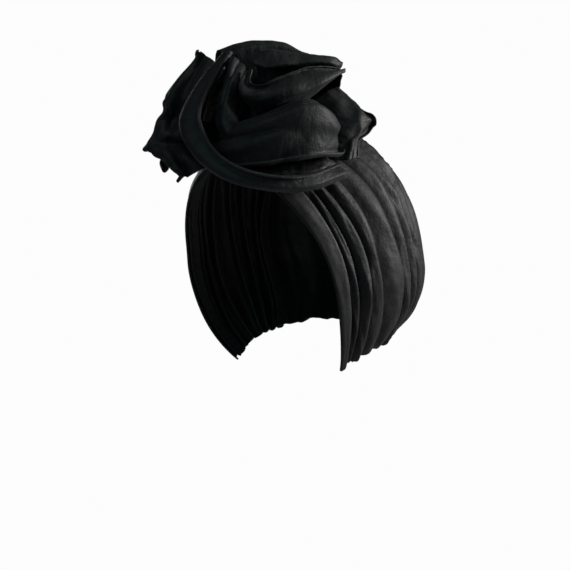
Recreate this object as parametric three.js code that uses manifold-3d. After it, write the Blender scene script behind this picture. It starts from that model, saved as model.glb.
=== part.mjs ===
// Turban headwrap: a pleated cap with a large cloth rosette over the brow.
// Millimetres, +Z up. The wearer faces -Y and the wearer's left is +X.
// The origin is at the middle of the head, level with the line where the cap grips it.

import * as THREE from 'three';
import { mergeVertices } from 'three/addons/utils/BufferGeometryUtils.js';
import Module from 'manifold-3d';

// Sizes of the worn cap
const cap_width = 168;
const cap_length = 213;
const crown_rise = 105;
const nape_drop = 110;
const form_centre_y = 5;
const form_centre_z = -25;
const gather_elevation = 69;
const gather_ring = 8;

// Sizes of the cloth
const cap_wall = 2.2;
const petal_wall = 2.0;
const cloth_gap = 0.35;
const fold_depth = 7;
const crest_lift = 1;
const band_lift = -0.4;
const pouch_puff = 6;
const pouch_tuck = 5;
const pouch_gathers = 5;
const pouch_gather_depth = 2;
const pouch_puffed_share = 0.93;
const pouch_edge_share = 0.2;
const margin_ease = 0.4;
const steepest_wall = 1.9;
const margin_walls = 1.5;
const degrees_per_mm = 0.55;

// Folds rise from shallow ends: the share of their depth at each end, and over what share of the length
const fold_start = { depth: 0.35, rise: 3 };
const fold_end = { depth: 0.6, rise: 2.4 };
const last_crest = 0.9;

// Size and seat of the rosette. Its tables are in hundredths of rosette_size.
const rosette_size = 74;
const rosette_seat = [0, -49, 70];
const rosette_turn = 38;
const rosette_tilt = 6;
const root_reach = 0.3;
const petal_margin = 0.01;

// Grid of each cloth panel
const panel_rows = 11;
const pouch_columns = 24;
const band_columns = 32;
const band_rows = 3;
const petal_rows = 5;
const pad_facets = 16;
const room_facets = 56;

const cloth_color = 0x17181b;
const cloth_roughness = 0.62;

// Outline of the worn cap by elevation seen from its middle. Side is a share of the half width,
// back and front are shares of the half length.
const form_sections = [
  { elevation: -90, side: 0.95, back: 0.70, front: 0.94 },
  { elevation: -50, side: 1.01, back: 0.85, front: 0.94 },
  { elevation: -36, side: 1.01, back: 0.97, front: 0.94 },
  { elevation: -27, side: 1.01, back: 1.13, front: 0.94 },
  { elevation: -18, side: 1.01, back: 1.19, front: 0.94 },
  { elevation: -8, side: 1.01, back: 1.16, front: 0.94 },
  { elevation: 3, side: 1.00, back: 1.06, front: 0.94 },
  { elevation: 16, side: 1.00, back: 1.00, front: 1.01 },
  { elevation: 30, side: 1.00, back: 0.97, front: 1.10 },
  { elevation: 48, side: 1.00, back: 0.91, front: 1.25 },
  { elevation: 60, side: 1.00, back: 0.91, front: 1.35 },
  { elevation: 75, side: 1.00, back: 0.92, front: 1.54 },
  { elevation: 90, side: 1.00, back: 0.92, front: 1.60 },
];

// Lines that run from the gather under the rosette down to the hem, on one side of the head.
// Each number is the turn about the gather in degrees, from the face round to the back.
const fold_lines = [
  { line: 'band_margin', ring: 3, near: 30, upper: 52, middle: 60, hem: 56.5, depth: 0 },
  { line: 'thin_fold', ring: 18, near: 48, upper: 62, middle: 65, hem: 59, depth: 0.62 },
  { line: 'third_fold', ring: 32, near: 57, upper: 68, middle: 69.5, hem: 62, depth: 0.9 },
  { line: 'fourth_fold', ring: 48, near: 66, upper: 74.5, middle: 76, hem: 68, depth: 0.9 },
  { line: 'wide_fold', ring: 66, near: 79, upper: 85, middle: 83, hem: 79, depth: 1 },
  { line: 'sixth_fold', ring: 84, near: 95, upper: 98, middle: 96.5, hem: 89, depth: 0.95 },
  { line: 'crown_fold', ring: 104, near: 109, upper: 109, middle: 104, hem: 95, depth: 0.85 },
  { line: 'last_fold', ring: 128, near: 128, upper: 122, middle: 110, hem: 101, depth: 0.8 },
  { line: 'pouch_seam', ring: 156, near: 150, upper: 138, middle: 117, hem: 108, depth: 0 },
];
const line_stations = { ring: gather_ring, near: 28, upper: 50, middle: 90, hem: 132 };

// Front edge of the cap and the rear edge of the band, from the middle of the brow to the low tip.
const band_sections = [
  { along: 0.00, edge_polar: 24, edge_turn: 0, rear_polar: 11, rear_turn: 0 },
  { along: 0.14, edge_polar: 26.5, edge_turn: 19, rear_polar: 17, rear_turn: 34 },
  { along: 0.28, edge_polar: 33, edge_turn: 36, rear_polar: 28, rear_turn: 50 },
  { along: 0.40, edge_polar: 44, edge_turn: 47, rear_polar: 42, rear_turn: 60 },
  { along: 0.55, edge_polar: 62, edge_turn: 55, rear_polar: 61, rear_turn: 64.5 },
  { along: 0.72, edge_polar: 87, edge_turn: 58, rear_polar: 87, rear_turn: 65 },
  { along: 0.87, edge_polar: 110, edge_turn: 56.5, rear_polar: 110, rear_turn: 61.5 },
  { along: 1.00, edge_polar: 132, edge_turn: 54.5, rear_polar: 131, rear_turn: 58 },
];

// How far round the head the lower hem lies from the gather, by turn.
const hem_sections = [
  { turn: 54, polar: 132 },
  { turn: 80, polar: 133 },
  { turn: 108, polar: 137 },
  { turn: 140, polar: 143 },
  { turn: 180, polar: 147 },
];

// Height of a fold across its width, from the groove at its front to the lip at its rear.
const fold_profile = [
  { across: 0.00, height: 0.00 },
  { across: 0.18, height: 0.42 },
  { across: 0.45, height: 0.80 },
  { across: 0.70, height: 1.00 },
  { across: 0.86, height: 0.88 },
];

// Petals of the rosette. A row is one section of the cloth: its root, its belly and its rim.
// The three letters are a for across to the right, r for rise and o for out towards the front.
const petal_tables = {
  rosette_heart: [
    { root: [-2, 42, 30], belly: [-13, 52, 50], rim: [-8, 60, 50] },
    { root: [0, 30, 36], belly: [-16, 38, 60], rim: [-10, 46, 58] },
    { root: [6, 22, 40], belly: [-6, 28, 67], rim: [-2, 41, 62] },
    { root: [14, 17, 41], belly: [10, 26, 71], rim: [12, 43, 64] },
    { root: [28, 20, 38], belly: [33, 32, 70], rim: [32, 53, 60] },
    { root: [42, 28, 30], belly: [61, 43, 60], rim: [58, 60, 50] },
    { root: [50, 34, 20], belly: [82, 56, 42], rim: [84, 61, 37] },
  ],
  rosette_swirl: [
    { root: [2, 52, 20], belly: [-2, 76, 24], rim: [-3, 68, 38] },
    { root: [12, 50, 20], belly: [14, 80, 26], rim: [14, 65, 45] },
    { root: [32, 48, 20], belly: [40, 78, 27], rim: [42, 69, 46] },
    { root: [48, 46, 16], belly: [66, 72, 26], rim: [71, 69, 39] },
    { root: [54, 42, 12], belly: [79, 66, 26], rim: [84, 66, 30] },
  ],
  petal_top: [
    { root: [-20, 44, 10], belly: [-39, 84, 8], rim: [-42, 46, -22] },
    { root: [-4, 42, 12], belly: [-8, 91, 6], rim: [-8, 42, -36] },
    { root: [20, 40, 12], belly: [25, 92, 4], rim: [26, 40, -42] },
    { root: [38, 38, 12], belly: [47, 81, 4], rim: [48, 36, -38] },
    { root: [50, 34, 10], belly: [73, 69, 8], rim: [68, 32, -24] },
    { root: [52, 30, 6], belly: [82, 60, 10], rim: [76, 30, -10] },
  ],
  petal_upper_left: [
    { root: [-14, 66, 20], belly: [-20, 70, 24], rim: [-23, 74, 27] },
    { root: [-22, 52, 18], belly: [-31, 52, 27], rim: [-36, 54, 33] },
    { root: [-30, 30, 20], belly: [-40, 30, 33], rim: [-46, 31, 42] },
    { root: [-34, 12, 26], belly: [-44, 8, 38], rim: [-50, 8, 49] },
  ],
  petal_inner_left: [
    { root: [-8, 66, 34], belly: [-17, 70, 41], rim: [-26, 71, 35] },
    { root: [-12, 50, 42], belly: [-22, 52, 54], rim: [-32, 51, 43] },
    { root: [-13, 32, 46], belly: [-26, 31, 61], rim: [-38, 30, 49] },
    { root: [-12, 16, 48], belly: [-27, 12, 65], rim: [-41, 9, 55] },
    { root: [-10, 4, 52], belly: [-24, -3, 69], rim: [-37, -9, 61] },
  ],
  petal_front_billow: [
    { root: [-26, 2, 26], belly: [-44, -8, 36], rim: [-46, -26, 40] },
    { root: [-18, 4, 40], belly: [-30, -3, 64], rim: [-36, -31, 66] },
    { root: [-4, 8, 46], belly: [-6, 6, 82], rim: [-8, -32, 80] },
    { root: [20, 12, 46], belly: [27, 17, 93], rim: [22, -29, 90] },
    { root: [42, 20, 40], belly: [54, 24, 88], rim: [54, -22, 86] },
    { root: [50, 20, 28], belly: [74, 13, 66], rim: [76, -18, 62] },
    { root: [46, 14, 14], belly: [72, 14, 34], rim: [72, -13, 36] },
  ],
  petal_lower_pocket: [
    { root: [-24, -18, 40], belly: [-28, -34, 60], rim: [-20, -41, 68] },
    { root: [0, -20, 48], belly: [2, -40, 70], rim: [6, -46, 76] },
    { root: [28, -18, 52], belly: [32, -39, 74], rim: [34, -48, 80] },
    { root: [50, -14, 44], belly: [64, -31, 68], rim: [54, -48, 74] },
    { root: [54, -12, 32], belly: [74, -29, 48], rim: [72, -43, 54] },
  ],
  petal_outer_roll: [
    { root: [-24, 64, 6], belly: [-35, 72, 20], rim: [-25, 77, 34] },
    { root: [-38, 46, 8], belly: [-53, 52, 25], rim: [-39, 56, 43] },
    { root: [-46, 24, 14], belly: [-67, 28, 34], rim: [-51, 33, 56] },
    { root: [-48, 2, 22], belly: [-73, 6, 46], rim: [-57, 12, 68] },
    { root: [-44, -18, 32], belly: [-67, -18, 58], rim: [-50, -9, 78] },
    { root: [-30, -34, 40], belly: [-49, -40, 68], rim: [-36, -28, 86] },
    { root: [-8, -42, 48], belly: [-21, -54, 78], rim: [-12, -43, 93] },
    { root: [20, -44, 50], belly: [18, -60, 80], rim: [20, -49, 97] },
    { root: [48, -40, 44], belly: [54, -58, 72], rim: [51, -48, 89] },
    { root: [62, -30, 26], belly: [86, -45, 50], rim: [82, -36, 62] },
  ],
  petal_left_ruffles: [
    { root: [-34, 58, -8], belly: [-46, 74, 0], rim: [-59, 84, 4] },
    { root: [-38, 46, -6], belly: [-58, 58, 8], rim: [-71, 67, 0] },
    { root: [-44, 30, -2], belly: [-72, 36, 12], rim: [-92, 40, 6] },
    { root: [-48, 14, 4], belly: [-78, 16, 4], rim: [-94, 22, 14] },
    { root: [-50, 0, 10], belly: [-84, 0, 22], rim: [-106, 4, 12] },
    { root: [-50, -12, 16], belly: [-86, -12, 18], rim: [-113, -15, 22] },
    { root: [-48, -24, 22], belly: [-76, -26, 36], rim: [-93, -22, 26] },
    { root: [-44, -36, 28], belly: [-64, -42, 36], rim: [-76, -47, 42] },
  ],
  petal_far_side: [
    { root: [-42, -18, 12], belly: [-70, -8, 10], rim: [-88, 4, -4] },
    { root: [-42, 0, -4], belly: [-66, 20, -8], rim: [-84, 32, -18] },
    { root: [-36, 12, -16], belly: [-54, 40, -22], rim: [-66, 58, -26] },
    { root: [-26, 20, -22], belly: [-36, 52, -30], rim: [-42, 70, -34] },
  ],
  tail_loop: [
    { root: [52, 34, 4], belly: [72, 44, 2], rim: [80, 46, -2] },
    { root: [58, 22, 8], belly: [84, 31, 8], rim: [100, 26, 0] },
    { root: [62, 8, 12], belly: [92, 16, 16], rim: [116, 16, 4] },
    { root: [66, -8, 14], belly: [92, 2, 22], rim: [115, 8, 2] },
    { root: [68, -20, 16], belly: [90, -10, 26], rim: [100, -6, 14] },
    { root: [72, -32, 18], belly: [88, -28, 28], rim: [96, -24, 20] },
  ],
  petal_back_upper: [
    { root: [-34, 22, -18], belly: [-56, 46, -22], rim: [-74, 56, -30] },
    { root: [-28, 24, -28], belly: [-46, 50, -44], rim: [-62, 56, -58] },
    { root: [-14, 24, -34], belly: [-24, 50, -56], rim: [-34, 54, -76] },
    { root: [8, 24, -36], belly: [10, 48, -60], rim: [10, 50, -84] },
    { root: [30, 22, -32], belly: [42, 46, -54], rim: [50, 46, -72] },
    { root: [40, 18, -24], belly: [62, 40, -38], rim: [78, 42, -46] },
  ],
  petal_back_lower: [
    { root: [-46, -22, 4], belly: [-76, -20, 4], rim: [-96, -36, 2] },
    { root: [-46, -10, -14], belly: [-76, 6, -22], rim: [-96, -16, -34] },
    { root: [-38, 0, -30], belly: [-66, 20, -48], rim: [-80, 0, -68] },
    { root: [-20, 6, -40], belly: [-36, 30, -68], rim: [-44, 8, -94] },
    { root: [4, 8, -42], belly: [6, 32, -74], rim: [6, 8, -102] },
    { root: [28, 4, -36], belly: [44, 28, -64], rim: [52, 4, -92] },
    { root: [44, -2, -24], belly: [72, 20, -42], rim: [92, 0, -58] },
  ],
};

// Gathered pad under the petals, as an egg: its middle and its reaches.
const pad_middle = [4, 0, -2];
const pad_reach = { across: 46, rise: 42, out: 46 };

const wasm = await Module();
wasm.setup();

const half_turn = 180;
const radians = (degrees) => degrees * Math.PI / half_turn;
const degrees = (angle) => angle * half_turn / Math.PI;

// Smooth value of one column of a table at a place between its rows
function between(table, key, place, column) {
  const last = table.length - 1;
  let i = 0;
  while (i < last - 1 && place > table[i + 1][key]) i += 1;
  const at = (n) => table[Math.min(last, Math.max(0, n))];
  const slope = (n) => {
    const a = at(n - 1);
    const b = at(n + 1);
    return (b[column] - a[column]) / (b[key] - a[key]);
  };
  const span = at(i + 1)[key] - at(i)[key];
  const t = (place - at(i)[key]) / span;
  if (t < 0) return at(i)[column] + slope(i) * t * span;
  if (t > 1) return at(i + 1)[column] + slope(i + 1) * (t - 1) * span;
  const t2 = t * t;
  const t3 = t2 * t;
  return (2 * t3 - 3 * t2 + 1) * at(i)[column] + (t3 - 2 * t2 + t) * slope(i) * span
    + (3 * t2 - 2 * t3) * at(i + 1)[column] + (t3 - t2) * slope(i + 1) * span;
}

// Point on the outline of the cap: polar is the angle away from the gather, turn goes from the face to the back
function formBase(polar, turn) {
  const p = radians(polar);
  const t = radians(turn);
  const g = radians(gather_elevation);
  const forward = Math.cos(p) * Math.cos(g) + Math.sin(p) * Math.cos(t) * Math.sin(g);
  const dx = Math.sin(p) * Math.sin(t);
  const dy = -forward;
  const dz = Math.cos(p) * Math.sin(g) - Math.sin(p) * Math.cos(t) * Math.cos(g);
  const elevation = degrees(Math.asin(Math.min(1, Math.max(-1, dz))));
  const side = between(form_sections, 'elevation', elevation, 'side') * cap_width / 2;
  const reach = between(form_sections, 'elevation', elevation, dy > 0 ? 'back' : 'front') * cap_length / 2;
  const height = dz > 0 ? crown_rise : nape_drop;
  return new THREE.Vector3(side * dx, form_centre_y + reach * dy, form_centre_z + height * dz);
}

function formPoint(polar, turn, lift) {
  const step = 0.5;
  const down = formBase(polar + step, turn).sub(formBase(polar - step, turn));
  const round = formBase(polar, turn + step).sub(formBase(polar, turn - step));
  const normal = round.cross(down).normalize();
  const base = formBase(polar, turn);
  const outward = base.clone().sub(new THREE.Vector3(0, form_centre_y, form_centre_z));
  if (normal.dot(outward) < 0) normal.negate();
  return base.addScaledVector(normal, lift);
}

// Closed cloth panel: place(column, row, side) gives each corner, with side -1 within and 1 without
function panel(columns, rows, place) {
  const geometry = new THREE.BoxGeometry(1, 1, 1, columns, rows, 1);
  geometry.deleteAttribute('normal');
  geometry.deleteAttribute('uv');
  const merged = mergeVertices(geometry);
  const position = merged.attributes.position;
  for (let i = 0; i < position.count; i += 1) {
    const column = Math.round((position.getX(i) + 0.5) * columns);
    const row = Math.round((position.getY(i) + 0.5) * rows);
    const point = place(column, row, position.getZ(i) > 0 ? 1 : -1);
    position.setXYZ(i, point.x, point.y, point.z);
  }
  if (volumeOf(merged) < 0) {
    const index = merged.index;
    for (let i = 0; i < index.count; i += 3) {
      const second = index.getX(i + 1);
      index.setX(i + 1, index.getX(i + 2));
      index.setX(i + 2, second);
    }
  }
  return merged;
}

function volumeOf(geometry) {
  const position = geometry.attributes.position;
  const corner = (i) => new THREE.Vector3().fromBufferAttribute(position, geometry.index.getX(i));
  let sum = 0;
  for (let i = 0; i < geometry.index.count; i += 3) {
    sum += corner(i).dot(corner(i + 1).cross(corner(i + 2)));
  }
  return sum / 6;
}

function solidOf(geometry) {
  return new wasm.Manifold(new wasm.Mesh({
    numProp: 3,
    vertProperties: new Float32Array(geometry.attributes.position.array),
    triVerts: new Uint32Array(geometry.index.array),
  }));
}

function geometryOf(solid) {
  const mesh = solid.getMesh();
  const geometry = new THREE.BufferGeometry();
  geometry.setAttribute('position', new THREE.BufferAttribute(new Float32Array(mesh.vertProperties), 3));
  geometry.setIndex(new THREE.BufferAttribute(new Uint32Array(mesh.triVerts), 1));
  return geometry;
}

// A piece of cloth less the room that its neighbours take, without the scraps that this leaves
function trimmed(geometry, neighbours) {
  let solid = solidOf(geometry);
  for (const neighbour of neighbours) solid = solid.subtract(neighbour);
  const bodies = solid.decompose();
  bodies.sort((a, b) => b.volume() - a.volume());
  return geometryOf(bodies[0]);
}

// Turn of a fold line at a distance from the gather
function lineTurn(line, polar) {
  const stations = Object.keys(line_stations).map((name) => ({ polar: line_stations[name], turn: line[name] }));
  return between(stations, 'polar', polar, 'turn');
}

// Columns of the pleated panel: which two lines each lies between, how far across and how high
const pleat_columns = [
  { fold: 0, across: 0, height: 0, depth: 0 },
  { fold: 0, across: 0.5, height: 0, depth: 0 },
];
for (let fold = 1; fold < fold_lines.length - 1; fold += 1) {
  for (const station of fold_profile) {
    pleat_columns.push({ fold, across: station.across, height: station.height, depth: fold_lines[fold].depth });
  }
}
const last_fold = fold_lines.length - 2;
pleat_columns.push({ fold: last_fold, across: 1, height: last_crest, depth: fold_lines[last_fold].depth });

// Level of the cloth of the pleated panel. Grooves lie under the outline of the cap, crests just above it.
const groove_lift = crest_lift - fold_depth;
const margin_lift = band_lift - margin_walls * cap_wall - cloth_gap - margin_ease;

function pleatSpot(column, row) {
  const station = pleat_columns[Math.min(pleat_columns.length - 1, Math.max(0, column))];
  const share = row / panel_rows;
  const start = fold_lines[station.fold];
  const end = fold_lines[station.fold + 1];
  const hem_turn = start.hem + (end.hem - start.hem) * station.across;
  const hem_polar = between(hem_sections, 'turn', hem_turn, 'polar');
  const polar = gather_ring + (hem_polar - gather_ring) * share;
  const turn = lineTurn(start, polar) * (1 - station.across) + lineTurn(end, polar) * station.across;
  const rising = Math.min(1, fold_start.depth + share * fold_start.rise);
  const falling = Math.min(1, fold_end.depth + (1 - share) * fold_end.rise);
  const fade = rising * falling;
  const height = station.depth * station.height * fold_depth * fade;
  const level = station.fold === 0 ? margin_lift : groove_lift + height;
  return { polar, turn, level };
}

// The wall is measured square to the slope of the fold, so it is deeper where the lip drops
function slopeWall(before, after) {
  const width = formBase(before.polar, before.turn).distanceTo(formBase(after.polar, after.turn));
  const steep = Math.abs(after.level - before.level) / Math.max(width, 0.1);
  return cap_wall * Math.min(steepest_wall, Math.hypot(1, steep));
}

function pleatedPanel(hand, growth) {
  const columns = pleat_columns.length - 1;
  const place = (column, row, side) => {
    const spot = pleatSpot(column, row);
    const wall = slopeWall(pleatSpot(column - 1, row), pleatSpot(column + 1, row));
    const spread = growth * degrees_per_mm;
    const past = column === 0 ? -spread : column === columns ? spread : 0;
    const beyond = row === 0 ? -spread : row === panel_rows ? spread : 0;
    return formPoint(spot.polar + beyond, hand * (spot.turn + past), spot.level + side * (wall / 2 + growth));
  };
  return panel(columns, panel_rows, place);
}

function frontBand(growth) {
  const place = (column, row, side) => {
    const station = column / band_columns * 2 - 1;
    const along = Math.abs(station);
    const hand = station < 0 ? -1 : 1;
    const edge_polar = between(band_sections, 'along', along, 'edge_polar');
    const edge_turn = radians(between(band_sections, 'along', along, 'edge_turn'));
    const rear_polar = between(band_sections, 'along', along, 'rear_polar');
    const rear_turn = radians(between(band_sections, 'along', along, 'rear_turn'));
    const strip = Math.hypot(edge_polar - rear_polar, (edge_turn - rear_turn) * edge_polar);
    const spread = growth * degrees_per_mm / strip;
    const share = row / band_rows * (1 + 2 * spread) - spread;
    const across = edge_polar * Math.sin(edge_turn) * (1 - share) + rear_polar * Math.sin(rear_turn) * share;
    const ahead = edge_polar * Math.cos(edge_turn) * (1 - share) + rear_polar * Math.cos(rear_turn) * share;
    const turn = degrees(Math.atan2(across, ahead));
    const level = band_lift - cap_wall / 2 + side * (cap_wall / 2 + growth);
    return formPoint(Math.hypot(across, ahead), hand * turn, level);
  };
  return panel(band_columns, band_rows, place);
}

// The puffed panel at the back runs under the lips of the last folds
function backPouch() {
  const seam = fold_lines[fold_lines.length - 1];
  const place = (column, row, side) => {
    const share = row / panel_rows;
    const across = column / pouch_columns * 2 - 1;
    const hem_turn = half_turn - (half_turn - seam.hem + pouch_tuck) * Math.abs(across);
    const hem_polar = between(hem_sections, 'turn', hem_turn, 'polar');
    const polar = gather_ring + (hem_polar - gather_ring) * share;
    const edge = half_turn - lineTurn(seam, polar) + pouch_tuck;
    const turn = half_turn + edge * across;
    const inner = Math.min(1, (1 - Math.abs(across)) / pouch_edge_share);
    const puff = pouch_puff * Math.sin(Math.PI * Math.min(1, share * pouch_puffed_share)) ** 2 * inner;
    const gathers = Math.cos(across * Math.PI * pouch_gathers) * pouch_gather_depth * inner;
    const level = groove_lift - margin_ease + puff + gathers;
    return formPoint(polar, turn, level + side * cap_wall / 2);
  };
  return panel(pouch_columns, panel_rows, place);
}

// The rosette's own directions: across to the right, rise and out
const turn_angle = radians(rosette_turn);
const tilt_angle = radians(rosette_tilt);
const across_way = new THREE.Vector3(Math.cos(turn_angle), Math.sin(turn_angle), 0);
const out_way = new THREE.Vector3(
  Math.sin(turn_angle) * Math.cos(tilt_angle),
  -Math.cos(turn_angle) * Math.cos(tilt_angle),
  Math.sin(tilt_angle),
);
const rise_way = out_way.clone().cross(across_way);

function rosettePoint(a, r, o) {
  const unit = rosette_size / 100;
  return new THREE.Vector3(...rosette_seat)
    .addScaledVector(across_way, a * unit)
    .addScaledVector(rise_way, r * unit)
    .addScaledVector(out_way, o * unit);
}

// Point of a petal: along runs through its rows and out runs from root to rim
function petalPoint(table, along, out) {
  const places = table.map((row, i) => {
    const share = i / (table.length - 1);
    const root = row.root.map((value, k) => value + (pad_middle[k] - value) * root_reach);
    return [share, ...root, ...row.belly, ...row.rim];
  });
  const value = (k) => between(places, 0, along, k);
  const mix = (k) => {
    const root = value(1 + k);
    const belly = value(4 + k);
    const rim = value(7 + k);
    return root * (1 - out) * (1 - 2 * out) + belly * 4 * out * (1 - out) + rim * out * (2 * out - 1);
  };
  return rosettePoint(mix(0), mix(1), mix(2));
}

function petal(table, wall, margin) {
  const columns = table.length * 2 - 2;
  const step = 0.02;
  const place = (column, row, side) => {
    const along = (column / columns) * (1 + 2 * margin) - margin;
    const out = (row / petal_rows) * (1 + 2 * margin) - margin;
    const length = petalPoint(table, along + step, out).sub(petalPoint(table, along - step, out));
    const depth = petalPoint(table, along, out + step).sub(petalPoint(table, along, out - step));
    const normal = length.cross(depth).normalize();
    return petalPoint(table, along, out).addScaledVector(normal, side * wall / 2);
  };
  return panel(columns, petal_rows, place);
}

// The pad is an egg of gathered cloth, cut away below by the cap
function padEgg(growth) {
  const geometry = new THREE.SphereGeometry(1, pad_facets, pad_facets / 2);
  geometry.deleteAttribute('normal');
  geometry.deleteAttribute('uv');
  const merged = mergeVertices(geometry);
  const position = merged.attributes.position;
  const unit = rosette_size / 100;
  for (let i = 0; i < position.count; i += 1) {
    const point = rosettePoint(
      pad_middle[0] + position.getX(i) * (pad_reach.across + growth / unit),
      pad_middle[1] + position.getY(i) * (pad_reach.rise + growth / unit),
      pad_middle[2] + position.getZ(i) * (pad_reach.out + growth / unit),
    );
    position.setXYZ(i, point.x, point.y, point.z);
  }
  return merged;
}

// Everything inside the cap, up to a clearance above its crests
function capRoom() {
  const geometry = new THREE.SphereGeometry(1, room_facets, room_facets / 2);
  geometry.deleteAttribute('normal');
  geometry.deleteAttribute('uv');
  const merged = mergeVertices(geometry);
  const position = merged.attributes.position;
  const room = crest_lift + cap_wall / 2 + cloth_gap;
  const pole_ease = 1;
  for (let i = 0; i < position.count; i += 1) {
    const polar = degrees(Math.acos(Math.min(1, Math.max(-1, position.getY(i)))));
    const turn = degrees(Math.atan2(position.getX(i), position.getZ(i)));
    const point = formPoint(Math.min(half_turn - pole_ease, Math.max(pole_ease, polar)), turn, room);
    position.setXYZ(i, point.x, point.y, point.z);
  }
  return merged;
}

const group = new THREE.Group();

function add(name, geometry) {
  const material = new THREE.MeshStandardMaterial({
    color: cloth_color,
    roughness: cloth_roughness,
    metalness: 0,
  });
  const mesh = new THREE.Mesh(geometry, material);
  mesh.name = name;
  geometry.computeVertexNormals();
  group.add(mesh);
}

const band_room = solidOf(frontBand(cloth_gap));
const left_room = solidOf(pleatedPanel(1, cloth_gap));
const right_room = solidOf(pleatedPanel(-1, cloth_gap));
add('front_band', frontBand(0));
add('left_pleats', trimmed(pleatedPanel(1, 0), [band_room]));
add('right_pleats', trimmed(pleatedPanel(-1, 0), [band_room]));
add('back_pouch', trimmed(backPouch(), [left_room, right_room]));

const cap_room = solidOf(capRoom());
const pad_room = solidOf(padEgg(cloth_gap));
add('rosette_base', trimmed(padEgg(0), [cap_room]));

const placed = [];
for (const [name, table] of Object.entries(petal_tables)) {
  add(name, trimmed(petal(table, petal_wall, 0), [cap_room, pad_room, ...placed]));
  placed.push(solidOf(petal(table, petal_wall + 2 * cloth_gap, petal_margin)));
}

export default group;
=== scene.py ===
import math

import bmesh
import bpy
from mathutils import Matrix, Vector, noise


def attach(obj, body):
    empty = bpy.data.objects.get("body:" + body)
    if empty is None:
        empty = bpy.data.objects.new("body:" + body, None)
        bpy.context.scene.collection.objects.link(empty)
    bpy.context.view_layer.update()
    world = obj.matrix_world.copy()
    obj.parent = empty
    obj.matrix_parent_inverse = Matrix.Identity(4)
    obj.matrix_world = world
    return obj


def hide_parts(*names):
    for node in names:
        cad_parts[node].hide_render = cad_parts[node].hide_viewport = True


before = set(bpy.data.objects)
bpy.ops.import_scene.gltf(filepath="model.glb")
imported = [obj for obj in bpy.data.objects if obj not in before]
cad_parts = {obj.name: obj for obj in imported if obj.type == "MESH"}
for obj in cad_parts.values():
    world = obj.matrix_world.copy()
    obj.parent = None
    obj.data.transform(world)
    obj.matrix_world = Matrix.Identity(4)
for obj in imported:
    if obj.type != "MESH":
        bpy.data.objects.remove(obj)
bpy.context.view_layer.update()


# Front band. The real one is a smooth strip of doubled black cloth along the face opening,
# turned in at both edges and laid over the first folds from the brow to the low tips.

MM = 0.001
CAP_WIDTH = 168 * MM
CAP_LENGTH = 213 * MM
CROWN_RISE = 105 * MM
NAPE_DROP = 110 * MM
FORM_CENTRE = Vector((0, 5 * MM, -25 * MM))
GATHER_ELEVATION = math.radians(69)
CLOTH_THICK = 1.1 * MM

# elevation, side as a share of the half width, back and front as shares of the half length
FORM_SECTIONS = [
    (-90, 0.95, 0.70, 0.94),
    (-50, 1.01, 0.85, 0.94),
    (-36, 1.01, 0.97, 0.94),
    (-27, 1.01, 1.13, 0.94),
    (-18, 1.01, 1.19, 0.94),
    (-8, 1.01, 1.16, 0.94),
    (3, 1.00, 1.06, 0.94),
    (16, 1.00, 1.00, 1.01),
    (30, 1.00, 0.97, 1.10),
    (48, 1.00, 0.91, 1.25),
    (60, 1.00, 0.91, 1.35),
    (75, 1.00, 0.92, 1.54),
    (90, 1.00, 0.92, 1.60),
]


def between(table, place, column):
    """Smooth value of one column of a table at a place between its rows."""
    last = len(table) - 1
    i = 0
    while i < last - 1 and place > table[i + 1][0]:
        i += 1

    def slope(n):
        a, b = table[max(0, n - 1)], table[min(last, n + 1)]
        return (b[column] - a[column]) / (b[0] - a[0])

    low, high = table[i], table[i + 1]
    span = high[0] - low[0]
    t = (place - low[0]) / span
    if t < 0:
        return low[column] + slope(i) * t * span
    if t > 1:
        return high[column] + slope(i + 1) * (t - 1) * span
    t2, t3 = t * t, t * t * t
    return (
        (2 * t3 - 3 * t2 + 1) * low[column]
        + (t3 - 2 * t2 + t) * slope(i) * span
        + (3 * t2 - 2 * t3) * high[column]
        + (t3 - t2) * slope(i + 1) * span
    )


def outline_point(polar, turn):
    """Point on the outline of the worn cap, by the angle from the gather and the turn from the face."""
    p, t, g = math.radians(polar), math.radians(turn), GATHER_ELEVATION
    dx = math.sin(p) * math.sin(t)
    dy = -(math.cos(p) * math.cos(g) + math.sin(p) * math.cos(t) * math.sin(g))
    dz = math.cos(p) * math.sin(g) - math.sin(p) * math.cos(t) * math.cos(g)
    elevation = math.degrees(math.asin(max(-1.0, min(1.0, dz))))
    side = between(FORM_SECTIONS, elevation, 1) * CAP_WIDTH / 2
    reach = between(FORM_SECTIONS, elevation, 2 if dy > 0 else 3) * CAP_LENGTH / 2
    height = CROWN_RISE if dz > 0 else NAPE_DROP
    return FORM_CENTRE + Vector((side * dx, reach * dy, height * dz))


def lifted_point(polar, turn, lift):
    """The same point, moved out from the outline by lift in millimetres."""
    step = 0.5
    down = outline_point(polar + step, turn) - outline_point(polar - step, turn)
    across = outline_point(polar, turn + step) - outline_point(polar, turn - step)
    base = outline_point(polar, turn)
    normal = across.cross(down).normalized()
    if normal.dot(base - FORM_CENTRE) < 0:
        normal.negate()
    return base + normal * (lift * MM)


def drift(*place):
    """Smooth uneven value at a place, about -0.5 to 0.5 and the same on every run."""
    return noise.noise(Vector(place))


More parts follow.
